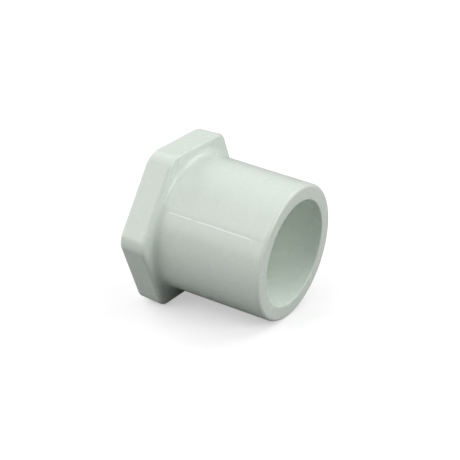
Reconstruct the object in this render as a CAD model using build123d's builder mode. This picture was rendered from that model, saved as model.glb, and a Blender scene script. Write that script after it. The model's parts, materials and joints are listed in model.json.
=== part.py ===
"""Solvent-weld PVC reducer bushing, 1 in spigot by 3/4 in socket, one injection moulding.

Frame: +X runs along the waterway, from the hexagonal head to the end of the spigot. The origin is
on the axis, in the plane of the head's shoulder, which stops against the larger fitting's rim.
+Z is normal to one flat of the head, and is up when the fitting lies on the opposite flat.
All sizes are in millimetres, and angles are in degrees.
"""

import os

from build123d import *

# Larger side: the spigot goes where a 1 in pipe would
spigot_diameter = 33.40
spigot_length = 27.9
spigot_wall = 3.7
spigot_end_round = 0.8
spigot_mouth_round = 0.2

# Smaller side: the socket takes a 3/4 in pipe, and the stop ring is as high as that pipe's wall
small_pipe_diameter = 26.67
small_pipe_wall = 2.87
socket_clearance = 0.05  # on the diameter, halfway down the real socket's slight taper
socket_depth = 19.0
socket_lead_in = 0.8
stop_thickness = 2.0

# Hexagonal head, which stands proud of the spigot all round
shoulder_ledge = 2.55  # from the spigot out to the middle of a flat, in the shoulder plane
head_thickness = 6.8
head_draft = 2.9
head_corner_round = 4.2
outer_edge_round = 0.7
shoulder_edge_round = 0.8
root_round = 1.5

# What follows from the sizes above
across_flats = spigot_diameter + 2 * shoulder_ledge
socket_diameter = small_pipe_diameter + socket_clearance
stop_bore = small_pipe_diameter - 2 * small_pipe_wall
spigot_bore = spigot_diameter - 2 * spigot_wall
outer_face_x = -head_thickness
stop_face_x = outer_face_x + socket_depth
stop_back_x = stop_face_x + stop_thickness

with BuildPart() as reducer_bushing:
    # The head is a hexagon that narrows from the shoulder to its outer face
    with BuildSketch(Plane.YZ):
        RegularPolygon(radius=across_flats / 2, side_count=6, major_radius=False)
    extrude(amount=-head_thickness)
    flats = reducer_bushing.faces().filter_by(Axis.X, reverse=True)
    draft(flats, neutral_plane=Plane.YZ, angle=-head_draft)
    head_ends = reducer_bushing.faces().filter_by(Axis.X)
    fillet(reducer_bushing.edges() - head_ends.edges(), radius=head_corner_round)
    outer_face = reducer_bushing.faces().filter_by(Axis.X).sort_by(Axis.X).first
    fillet(outer_face.edges(), radius=outer_edge_round)
    shoulder = reducer_bushing.faces().filter_by(Axis.X).sort_by(Axis.X).last
    fillet(shoulder.edges(), radius=shoulder_edge_round)

    # The spigot is a plain barrel on the shoulder, with a round at its root and at its end
    with BuildSketch(Plane.YZ):
        Circle(spigot_diameter / 2)
    extrude(amount=spigot_length)
    barrel_rims = reducer_bushing.edges(Select.LAST).filter_by(GeomType.CIRCLE).sort_by(Axis.X)
    fillet(barrel_rims.first, radius=root_round)
    end_rim = reducer_bushing.edges().filter_by(GeomType.CIRCLE).sort_by(Axis.X).last
    fillet(end_rim, radius=spigot_end_round)

    # The waterway narrows at the stop ring, which halts the smaller pipe at the socket's bottom
    with BuildSketch(Plane.YZ.offset(outer_face_x)):
        Circle(socket_diameter / 2)
    extrude(amount=socket_depth, mode=Mode.SUBTRACT)
    with BuildSketch(Plane.YZ.offset(stop_face_x)):
        Circle(stop_bore / 2)
    extrude(amount=stop_thickness, mode=Mode.SUBTRACT)
    with BuildSketch(Plane.YZ.offset(stop_back_x)):
        Circle(spigot_bore / 2)
    extrude(amount=spigot_length - stop_back_x, mode=Mode.SUBTRACT)

    # Both mouths are eased, so that the pipe starts straight and the spigot's edge isn't sharp
    outer_face = reducer_bushing.faces().filter_by(Axis.X).sort_by(Axis.X).first
    chamfer(outer_face.inner_wires().edges(), length=socket_lead_in)
    spigot_end = reducer_bushing.faces().filter_by(Axis.X).sort_by(Axis.X).last
    fillet(spigot_end.inner_wires().edges(), radius=spigot_mouth_round)

reducer_bushing.part.label = "reducer_bushing"
os.makedirs("parts", exist_ok=True)
export_step(reducer_bushing.part, "parts/reducer_bushing.step")
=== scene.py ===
import json
import math

import bmesh
import bpy
from mathutils import Matrix, Vector, noise


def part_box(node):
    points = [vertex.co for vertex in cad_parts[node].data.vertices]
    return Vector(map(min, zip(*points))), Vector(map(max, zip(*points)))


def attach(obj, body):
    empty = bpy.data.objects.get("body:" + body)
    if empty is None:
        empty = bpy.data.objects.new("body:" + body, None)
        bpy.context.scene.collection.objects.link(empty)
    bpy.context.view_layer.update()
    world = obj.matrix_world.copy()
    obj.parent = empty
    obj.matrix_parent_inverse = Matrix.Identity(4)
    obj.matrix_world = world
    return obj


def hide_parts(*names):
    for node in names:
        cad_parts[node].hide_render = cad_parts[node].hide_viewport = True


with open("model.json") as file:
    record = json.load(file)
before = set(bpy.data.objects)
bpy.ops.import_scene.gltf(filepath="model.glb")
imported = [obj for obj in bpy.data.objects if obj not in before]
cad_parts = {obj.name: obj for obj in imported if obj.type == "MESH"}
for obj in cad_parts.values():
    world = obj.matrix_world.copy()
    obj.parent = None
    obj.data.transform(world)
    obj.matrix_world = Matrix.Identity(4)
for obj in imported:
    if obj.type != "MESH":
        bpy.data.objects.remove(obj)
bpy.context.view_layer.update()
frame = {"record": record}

# The bushing. It is one injection moulding in rigid white PVC: a hexagonal head, a spigot that glues into
# the larger fitting, and a socket through the head that the smaller pipe glues into. Nothing is fixed to
# it. Lengths are in metres, with +X along the waterway from the head and the origin at the shoulder.
mm = 0.001
mounts = {mount["name"]: mount for mount in frame["record"]["mounts"]}
spigot_radius = mounts["spigot"]["dims"]["r_mm"] * mm
socket_radius = mounts["socket"]["dims"]["r_mm"] * mm
box_low, box_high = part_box("reducer_bushing")
outer_face_x = box_low.x
spigot_end_x = box_high.x

# The hexagonal head narrows towards its outer face so that it leaves its mould
shoulder_ledge = 2.55 * mm
head_draft = math.radians(2.9)
head_corner_round = 4.23 * mm
outer_edge_round = 0.7 * mm
shoulder_edge_round = 0.8 * mm
flat_distance = spigot_radius + shoulder_ledge
outer_flat_distance = flat_distance + outer_face_x * math.tan(head_draft)

moulding = bmesh.new()
across_axis = Matrix.Rotation(math.radians(90), 4, "Y")
bmesh.ops.create_circle(moulding, cap_ends=True, segments=6, matrix=across_axis,
                        radius=flat_distance / math.cos(math.radians(30)))
extruded = bmesh.ops.extrude_face_region(moulding, geom=moulding.faces[:])
outer_corners = [v for v in extruded["geom"] if isinstance(v, bmesh.types.BMVert)]
shrink = outer_flat_distance / flat_distance
bmesh.ops.scale(moulding, vec=(1, shrink, shrink), verts=outer_corners)
bmesh.ops.translate(moulding, vec=(outer_face_x, 0, 0), verts=outer_corners)


def lies_at(edge, x):
    return all(abs(v.co.x - x) < 0.01 * mm for v in edge.verts)


def round_edges(edges, radius, turn, segments):
    """Rounds edges where the surface turns by that angle, cutting as deep as a round of that radius."""
    half = turn / 2
    depth = radius * (1 / math.cos(half) - 1)
    bmesh.ops.bevel(moulding, geom=edges, offset=depth / ((2 - math.sqrt(2)) * math.sin(half)),
                    offset_type="OFFSET", segments=segments, profile=0.5, affect="EDGES", material=-1)


corner_edges = [e for e in moulding.edges if not lies_at(e, 0) and not lies_at(e, outer_face_x)]
round_edges(corner_edges, head_corner_round, math.radians(60), 12)
shoulder_edges = [e for e in moulding.edges if lies_at(e, 0)]
round_edges(shoulder_edges, shoulder_edge_round, math.radians(90) + head_draft, 8)
outer_edges = [e for e in moulding.edges if lies_at(e, outer_face_x)]
round_edges(outer_edges, outer_edge_round, math.radians(90) - head_draft, 8)

end_faces = [f for f in moulding.faces if abs(f.normal.x) > 0.9999]
bmesh.ops.delete(moulding, geom=end_faces, context="FACES_ONLY")
head_rims = [e for e in moulding.edges if e.is_boundary]
shoulder_rim = [e for e in head_rims if lies_at(e, 0)]
outer_rim = [e for e in head_rims if lies_at(e, outer_face_x)]

# The spigot and the waterway are one turned outline: up over the round at the shoulder, along the
# barrel, in over the spigot's end, then back through the bore, the stop ring and the socket
root_round = 1.5 * mm
spigot_end_round = 0.8 * mm
spigot_mouth_round = 0.2 * mm
spigot_wall = 3.7 * mm
small_pipe_wall = 2.87 * mm
socket_clearance = 0.05 * mm
stop_radius = socket_radius - socket_clearance / 2 - small_pipe_wall
socket_depth = 19.0 * mm
stop_thickness = 2.0 * mm
stop_edge_round = 0.25 * mm
socket_lead_in = 0.8 * mm
lead_in_edge_round = 0.2 * mm
bore_radius = spigot_radius - spigot_wall
stop_face_x = outer_face_x + socket_depth
stop_back_x = stop_face_x + stop_thickness


def arc(centre_x, centre_radius, radius, start, end, steps):
    """Points on a round of the outline, between two angles in degrees, from +X towards the outside."""
    turns = [math.radians(start + (end - start) * i / steps) for i in range(steps + 1)]
    return [(centre_x + radius * math.cos(t), centre_radius + radius * math.sin(t)) for t in turns]


def straight(start, end, steps):
    """Points between two places on the outline, without the ends, which the rounds already give."""
    return [tuple(a + (b - a) * i / steps for a, b in zip(start, end)) for i in range(1, steps)]


root = arc(root_round, spigot_radius + root_round, root_round, 180, 270, 12)
end_round = arc(spigot_end_x - spigot_end_round, spigot_radius - spigot_end_round,
                spigot_end_round, 90, 0, 12)
mouth = arc(spigot_end_x - spigot_mouth_round, bore_radius + spigot_mouth_round,
            spigot_mouth_round, 0, -90, 6)
stop_back = arc(stop_back_x + stop_edge_round, bore_radius - stop_edge_round,
                stop_edge_round, 90, 180, 5)
stop_back += arc(stop_back_x - stop_edge_round, stop_radius + stop_edge_round,
                 stop_edge_round, 0, -90, 5)
stop_face = arc(stop_face_x + stop_edge_round, stop_radius + stop_edge_round,
                stop_edge_round, -90, -180, 5)
stop_face += arc(stop_face_x - stop_edge_round, socket_radius - stop_edge_round,
                 stop_edge_round, 0, 90, 5)
lead_in_reach = socket_lead_in + (math.sqrt(2) - 1) * lead_in_edge_round
lead_in = arc(outer_face_x + lead_in_reach, socket_radius + lead_in_edge_round,
              lead_in_edge_round, -90, -135, 4)
lead_in += arc(outer_face_x + lead_in_edge_round, socket_radius + lead_in_reach,
               lead_in_edge_round, -135, -180, 4)
barrel_rings = 100
outline = root + straight(root[-1], end_round[0], barrel_rings) + end_round
outline += straight(end_round[-1], mouth[0], 4) + mouth
outline += straight(mouth[-1], stop_back[0], 14) + stop_back + straight(stop_back[-1], stop_face[0], 4)
outline += stop_face + straight(stop_face[-1], lead_in[0], 16) + lead_in

# The turning starts beside the mould's parting line, where its steps are fine enough to carry the flash
parting_angle = math.radians(62.2)
parting_arc = math.radians(6.4)
parting_steps = 30
barrel_steps = 80
merge_distance = 0.002 * mm
start_angle = parting_angle - parting_arc / 2


def around(x, radius, angle):
    """A place at that angle from +Z towards -Y about the waterway's axis."""
    return Vector((x, -radius * math.sin(angle), radius * math.cos(angle)))


turned = bmesh.new()
verts = [turned.verts.new(around(x, radius, start_angle)) for x, radius in outline]
edges = [turned.edges.new(pair) for pair in zip(verts, verts[1:])]
last = verts + edges
for angle, steps in ((parting_arc, parting_steps), (math.pi - parting_arc, barrel_steps)) * 2:
    made = bmesh.ops.spin(turned, geom=last, cent=(0, 0, 0), axis=(1, 0, 0), angle=angle,
                          steps=steps, use_merge=False)
    last = made["geom_last"]
bmesh.ops.remove_doubles(turned, verts=turned.verts[:], dist=merge_distance)
spun = bpy.data.meshes.new("spigot_and_waterway")
turned.to_mesh(spun)
turned.free()
moulding.from_mesh(spun)
bpy.data.meshes.remove(spun)

# The head and the turned part are one skin, joined by the flat shoulder and the flat outer face. The outer
# face has a narrow border of its own, so that the rounds beside it do not tint the flat
turned_rims = [e for e in moulding.edges if e.is_boundary and e not in head_rims]
shoulder_rim += [e for e in turned_rims if lies_at(e, 0)]
outer_rim += [e for e in turned_rims if lies_at(e, outer_face_x)]
outer_face_border = 0.25 * mm
bmesh.ops.bridge_loops(moulding, edges=shoulder_rim)
outer_face = bmesh.ops.bridge_loops(moulding, edges=outer_rim)["faces"]
bmesh.ops.inset_region(moulding, faces=outer_face, thickness=outer_face_border, use_even_offset=True)
bmesh.ops.recalc_face_normals(moulding, faces=moulding.faces[:])

# The mould's two halves do not meet quite level, so the spigot dips at the parting line: it falls away over
# about a millimetre on one side and comes back to its size over nine on the other. Plastic crept between the
# halves and left a thin uneven ridge of flash. Its list pairs millimetres along the spigot with its height
step_down = 0.10 * mm
step_shoulder = 1.25 * mm
step_recovery = 9.0 * mm
step_curve = 1.6
flash_height = 0.11 * mm
flash_half_width = 0.28 * mm
flash_offset = 0.06 * mm
flash_wander = 0.04 * mm
wander_length = 1.6 * mm
ragged_length = 0.8 * mm
ragged_level = 0.8
ragged_swing = 0.9
flash_along = ((1.2, 0.0), (2.4, 0.55), (4.4, 1.0), (6.6, 0.8), (8.2, 0.3), (10.5, 0.4), (12.0, 0.9),
               (15.5, 0.85), (17.0, 0.5), (22.5, 0.6), (24.0, 0.15), (26.2, 0.1), (26.9, 0.0))
flash_shine = moulding.verts.layers.float.new("flash")


def flash_share(x):
    """How much of its full height the flash has at that distance along the spigot."""
    for (before, low), (after, high) in zip(flash_along, flash_along[1:]):
        if before * mm <= x <= after * mm:
            return low + (high - low) * (x / mm - before) / (after - before)
    return 0.0


def step_share(across):
    """How much of the step there is at that distance across the parting line, from the larger half."""
    if across < 0:
        return max(0, 1 + across / step_shoulder) ** step_curve
    return max(0, 1 - across / step_recovery)


for vert in moulding.verts:
    radius = math.hypot(vert.co.y, vert.co.z)
    fade = min(vert.co.x / root_round, (spigot_end_x - vert.co.x) / spigot_end_round, 1)
    if fade <= 0 or radius < spigot_radius - 0.5 * spigot_end_round:
        continue
    angle = math.atan2(-vert.co.y, vert.co.z) - parting_angle
    side = math.floor(angle / math.pi + 0.5)
    across = (angle - side * math.pi) * radius * (1 if side == 0 else -1)
    sink = step_down * fade * step_share(across)
    wander = flash_wander * noise.noise(Vector((vert.co.x / wander_length, 7.0 * side, 0)))
    slope = 1 - abs(across - flash_offset - wander) / flash_half_width
    rise = 0.0
    if slope > 0:
        rough = noise.noise(Vector((vert.co.x / ragged_length, 3.0 + 5.0 * side, 0)))
        ragged = ragged_level + ragged_swing * rough
        rise = flash_share(vert.co.x) * min(ragged, 1) * math.sin(slope * math.pi / 2) ** 2
        vert[flash_shine] = rise
    vert.co += Vector((0, vert.co.y, vert.co.z)) / radius * (flash_height * rise - sink)

for face in moulding.faces:
    face.smooth = True
mesh = bpy.data.meshes.new("moulding")
moulding.to_mesh(mesh)
moulding.free()
bushing = bpy.data.objects.new("bushing_moulding", mesh)
bpy.context.scene.collection.objects.link(bushing)
flat_faces = bushing.modifiers.new("flat_faces", "WEIGHTED_NORMAL")
flat_faces.mode = "FACE_AREA"
flat_faces.keep_sharp = False
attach(bushing, "root")
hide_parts("reducer_bushing")

# The PVC is filled with white pigment. It comes out of the mould with a soft shine, faintly cloudy, and
# with a few dark grains in it
pvc = bpy.data.materials.new("white_pvc")
pvc.use_nodes = True
nodes = pvc.node_tree.nodes
join = pvc.node_tree.links.new
shader = nodes["Principled BSDF"]
shader.inputs["IOR"].default_value = 1.5
place = nodes.new("ShaderNodeTexCoord")


def pvc_noise(scale, detail, stretch=(1, 1, 1)):
    """A noise over the moulding, in features per metre, drawn out by the stretch."""
    turned_place = nodes.new("ShaderNodeMapping")
    turned_place.inputs["Scale"].default_value = stretch
    cloud = nodes.new("ShaderNodeTexNoise")
    cloud.inputs["Scale"].default_value = scale
    cloud.inputs["Detail"].default_value = detail
    join(place.outputs["Object"], turned_place.inputs["Vector"])
    join(turned_place.outputs["Vector"], cloud.inputs["Vector"])
    return cloud.outputs["Fac"]


def pvc_range(value, low, high, new_low, new_high):
    """Turns one range of a value into another, and holds it at both ends."""
    scaled = nodes.new("ShaderNodeMapRange")
    for name, number in (("From Min", low), ("From Max", high), ("To Min", new_low), ("To Max", new_high)):
        scaled.inputs[name].default_value = number
    join(value, scaled.inputs["Value"])
    return scaled.outputs["Result"]


def pvc_sum(kind, first, second):
    """One value from two by a Math node; the second may be a plain number."""
    sum_node = nodes.new("ShaderNodeMath")
    sum_node.operation = kind
    join(first, sum_node.inputs[0])
    if isinstance(second, (int, float)):
        sum_node.inputs[1].default_value = second
    else:
        join(second, sum_node.inputs[1])
    return sum_node.outputs["Value"]


def pvc_tint(mask, before, after):
    """Mixes a colour, or what feeds it, towards another colour by a mask."""
    mixed = nodes.new("ShaderNodeMix")
    mixed.data_type = "RGBA"
    join(mask, mixed.inputs["Factor"])
    if isinstance(before, tuple):
        mixed.inputs[6].default_value = before
    else:
        join(before, mixed.inputs[6])
    mixed.inputs[7].default_value = after
    return mixed.outputs[2]


pvc_colour = (0.735, 0.81, 0.737, 1)
pale_pvc_colour = (0.75, 0.823, 0.752, 1)
grain_colour = (0.20, 0.20, 0.17, 1)
knock_shade_colour = (0.30, 0.33, 0.29, 1)
flash_highlight_colour = (0.97, 1, 0.97, 1)
cloudy = pvc_range(pvc_noise(85, 3), 0.35, 0.65, 0, 1)
colour = pvc_tint(cloudy, pvc_colour, pale_pvc_colour)

# Dark grains: one in a few of the cells of a fine cell pattern, a tenth of a millimetre wide
grains = nodes.new("ShaderNodeTexVoronoi")
grains.inputs["Scale"].default_value = 380
join(place.outputs["Object"], grains.inputs["Vector"])
grain_pick = nodes.new("ShaderNodeSeparateColor")
join(grains.outputs["Color"], grain_pick.inputs["Color"])
grain_here = pvc_range(grain_pick.outputs["Red"], 0.66, 0.70, 0, 1)
grain_mask = pvc_sum("MULTIPLY", pvc_range(grains.outputs["Distance"], 0.022, 0.045, 0.75, 0), grain_here)

# Knocks: small dents on the spigot's end, on its barrel and on the head's shoulder. Each has its place along
# the waterway, its millimetres from the axis, its angle in degrees and its radius in millimetres
knocks = ((spigot_end_x, 13.5, 120.5, 0.24), (spigot_end_x, 13.2, 125, 0.16), (spigot_end_x, 15.9, 149, 0.3),
          (spigot_end_x, 14.3, -132, 0.16), (4.2 * mm, 16.7, 49, 0.14), (2.3 * mm, 16.7, 53.5, 0.16),
          (3.5 * mm, 16.7, 81, 0.12), (18.5 * mm, 16.7, -35, 0.13), (0, 19.4, 28, 0.3))
knock_mask = None
for x, radius, angle, size in knocks:
    from_knock = nodes.new("ShaderNodeVectorMath")
    from_knock.operation = "DISTANCE"
    join(place.outputs["Object"], from_knock.inputs[0])
    from_knock.inputs[1].default_value = around(x, radius * mm, math.radians(angle))
    dent = pvc_range(from_knock.outputs["Value"], 0.3 * size * mm, size * mm, 1, 0)
    knock_mask = dent if knock_mask is None else pvc_sum("MAXIMUM", knock_mask, dent)

# Painted shade: the dents are painted darker, standing in for the shade in their hollows
knock_painted_shade = 0.45
colour = pvc_tint(grain_mask, colour, grain_colour)
colour = pvc_tint(pvc_sum("MULTIPLY", knock_mask, knock_painted_shade), colour, knock_shade_colour)

# The shine is a little uneven, and the thin flash is shinier than the skin beside it. The flash is also
# painted paler, a painted highlight along its crest
flash_value = nodes.new("ShaderNodeAttribute")
flash_value.attribute_name = "flash"
thin = pvc_range(flash_value.outputs["Fac"], 0.03, 0.3, 0, 1)
# Painted highlight: the flash's colour is raised towards white, standing in for the bright line that it
# reflects
colour = pvc_tint(thin, colour, flash_highlight_colour)
join(colour, shader.inputs["Base Color"])
shiny_roughness = 0.22
dull_roughness = 0.30
flash_polish = 0.10
dull = pvc_range(pvc_noise(240, 4), 0.3, 0.7, shiny_roughness, dull_roughness)
join(pvc_sum("SUBTRACT", dull, pvc_sum("MULTIPLY", thin, flash_polish)), shader.inputs["Roughness"])

# The gate mark: a small round sink in the outer face, where the runner was broken off, with a rough middle
gate_radius = 1.35 * mm
gate_stub_radius = 0.6 * mm
gate_edge = 0.25 * mm
gate_from_axis = 17.6 * mm
gate_angle = math.radians(-90)
from_gate = nodes.new("ShaderNodeVectorMath")
from_gate.operation = "DISTANCE"
join(place.outputs["Object"], from_gate.inputs[0])
from_gate.inputs[1].default_value = around(outer_face_x, gate_from_axis, gate_angle)
gate_sink = pvc_range(from_gate.outputs["Value"], gate_radius - gate_edge, gate_radius, 1, 0)
gate_stub = pvc_range(from_gate.outputs["Value"], gate_stub_radius - gate_edge, gate_stub_radius, 1, 0)

# Relief in millimetres: the mould's fine grain, drag lines along the waterway, slow waves in the skin,
# the knocks and the gate mark
grain_depth = 0.002
drag_depth = 0.0012
wave_depth = 0.006
knock_depth = 0.05
gate_depth = 0.2
fine_grain = pvc_sum("MULTIPLY", pvc_noise(700, 2), grain_depth)
drag_lines = pvc_sum("MULTIPLY", pvc_noise(1, 2, stretch=(60, 1100, 1100)), drag_depth)
waves = pvc_sum("MULTIPLY", pvc_noise(150, 1), wave_depth)
relief = pvc_sum("ADD", pvc_sum("ADD", fine_grain, drag_lines), waves)
relief = pvc_sum("SUBTRACT", relief, pvc_sum("MULTIPLY", knock_mask, knock_depth))
relief = pvc_sum("SUBTRACT", relief, pvc_sum("MULTIPLY", gate_sink, gate_depth))
torn_stub = pvc_range(pvc_noise(4000, 2), 0.3, 0.7, gate_depth / 4, gate_depth)
relief = pvc_sum("ADD", relief, pvc_sum("MULTIPLY", gate_stub, torn_stub))
skin = nodes.new("ShaderNodeBump")
skin.inputs["Strength"].default_value = 1
skin.inputs["Distance"].default_value = mm
join(relief, skin.inputs["Height"])
join(skin.outputs["Normal"], shader.inputs["Normal"])
bushing.data.materials.append(pvc)

# The table is a matt white sheet. The camera sees it pale and faintly glowing, and to the bushing it is a
# dull grey, so that it throws little light up. The bushing lies on it on one flat of its head and on the
# spigot's rim, and the sheet is tilted to the waterway, not the bushing.
tilt = math.atan2(shoulder_ledge, spigot_end_x)
table_normal = Vector((-math.sin(tilt), 0, math.cos(tilt)))
table_height = min(table_normal.dot(v.co) for v in mesh.vertices)
table_place = Matrix.Translation(table_normal * table_height)
table_place @= table_normal.to_track_quat("Z", "Y").to_matrix().to_4x4()
table_half_width = 3
sheet = bmesh.new()
bmesh.ops.create_grid(sheet, x_segments=1, y_segments=1, size=table_half_width, matrix=table_place)
table_mesh = bpy.data.meshes.new("table")
sheet.to_mesh(table_mesh)
sheet.free()
table = bpy.data.objects.new("table", table_mesh)
bpy.context.scene.collection.objects.link(table)
acrylic = bpy.data.materials.new("table_acrylic")
acrylic.use_nodes = True
acrylic.node_tree.nodes.clear()
seen = acrylic.node_tree.nodes.new("ShaderNodeLightPath")
dull_face = acrylic.node_tree.nodes.new("ShaderNodeBsdfDiffuse")
dull_face.inputs["Color"].default_value = (0.25, 0.25, 0.25, 1)
pale_face = acrylic.node_tree.nodes.new("ShaderNodeBsdfDiffuse")
pale_face.inputs["Color"].default_value = (0.62, 0.62, 0.62, 1)
glow = acrylic.node_tree.nodes.new("ShaderNodeEmission")
glow.inputs["Strength"].default_value = 0.45
lit_face = acrylic.node_tree.nodes.new("ShaderNodeAddShader")
either = acrylic.node_tree.nodes.new("ShaderNodeMixShader")
surface = acrylic.node_tree.nodes.new("ShaderNodeOutputMaterial")
lay = acrylic.node_tree.links.new
lay(pale_face.outputs["BSDF"], lit_face.inputs[0])
lay(glow.outputs["Emission"], lit_face.inputs[1])
lay(seen.outputs["Is Camera Ray"], either.inputs["Fac"])
lay(dull_face.outputs["BSDF"], either.inputs[1])
lay(lit_face.outputs["Shader"], either.inputs[2])
lay(either.outputs["Shader"], surface.inputs["Surface"])
table.data.materials.append(acrylic)

# The light. Softboxes stand round the table inside a pale tent, each at an azimuth and a height in degrees
# about the bushing, with half its width and half its height as they look from there, and a brightness.
softboxes = (("front_softbox", -34, 22, 28, 15, 1.85), ("high_front_softbox", -8, 49, 16, 14, 2.4),
             ("side_softbox", 90, 25, 15, 11, 6.2), ("rear_softbox", 142, 48, 20, 18, 2.75),
             ("back_softbox", -105, 26, 28, 16, 3.35), ("top_softbox", 0, 82, 18, 18, 0.4))
tent_brightness = 0.15
lamp_distance = 0.6
middle = Vector(((outer_face_x + spigot_end_x) / 2, 0, 0))
table_turn = Matrix.Rotation(-tilt, 3, "Y")
for name, azimuth, height, half_width, half_height, brightness in softboxes:
    azimuth, height = math.radians(azimuth), math.radians(height)
    towards = table_turn @ Vector((math.sin(azimuth) * math.cos(height),
                                   -math.cos(azimuth) * math.cos(height), math.sin(height)))
    lamp_data = bpy.data.lights.new(name, "AREA")
    lamp_data.shape = "RECTANGLE"
    lamp_data.size = 2 * lamp_distance * math.tan(math.radians(half_width))
    lamp_data.size_y = 2 * lamp_distance * math.tan(math.radians(half_height))
    lamp_data.energy = math.pi * brightness * lamp_data.size * lamp_data.size_y
    lamp = bpy.data.objects.new(name, lamp_data)
    lamp.matrix_world = Matrix.Translation(middle + towards * lamp_distance) @ (
        towards.to_track_quat("Z", "Y").to_matrix().to_4x4())
    bpy.context.scene.collection.objects.link(lamp)
tent = bpy.data.worlds.new("tent")
tent.use_nodes = True
tent.node_tree.nodes["Background"].inputs["Color"].default_value = (1, 1, 1, 1)
tent.node_tree.nodes["Background"].inputs["Strength"].default_value = tent_brightness
bpy.context.scene.world = tent
bpy.context.scene.view_settings.view_transform = "Standard"

# The camera looks at the spigot's open end from above, a little turned about its line of sight
azimuth, elevation, roll = map(math.radians, (28.864, 25.325, 5.165))
aim = Vector((8.20, 3.69, -1.52)) * mm
distance = 413.4 * mm
back = Vector((math.sin(azimuth) * math.cos(elevation), -math.cos(azimuth) * math.cos(elevation),
               math.sin(elevation)))
level = back.to_track_quat("Z", "Y").to_matrix().to_4x4()
camera_data = bpy.data.cameras.new("camera")
camera_data.sensor_width = 36
camera_data.lens = 135.48
camera_data.clip_start = 10 * mm
camera_data.clip_end = 10
camera = bpy.data.objects.new("camera", camera_data)
camera.matrix_world = Matrix.Translation(aim + back * distance) @ level @ Matrix.Rotation(roll, 4, "Z")
bpy.context.scene.collection.objects.link(camera)
bpy.context.scene.camera = camera
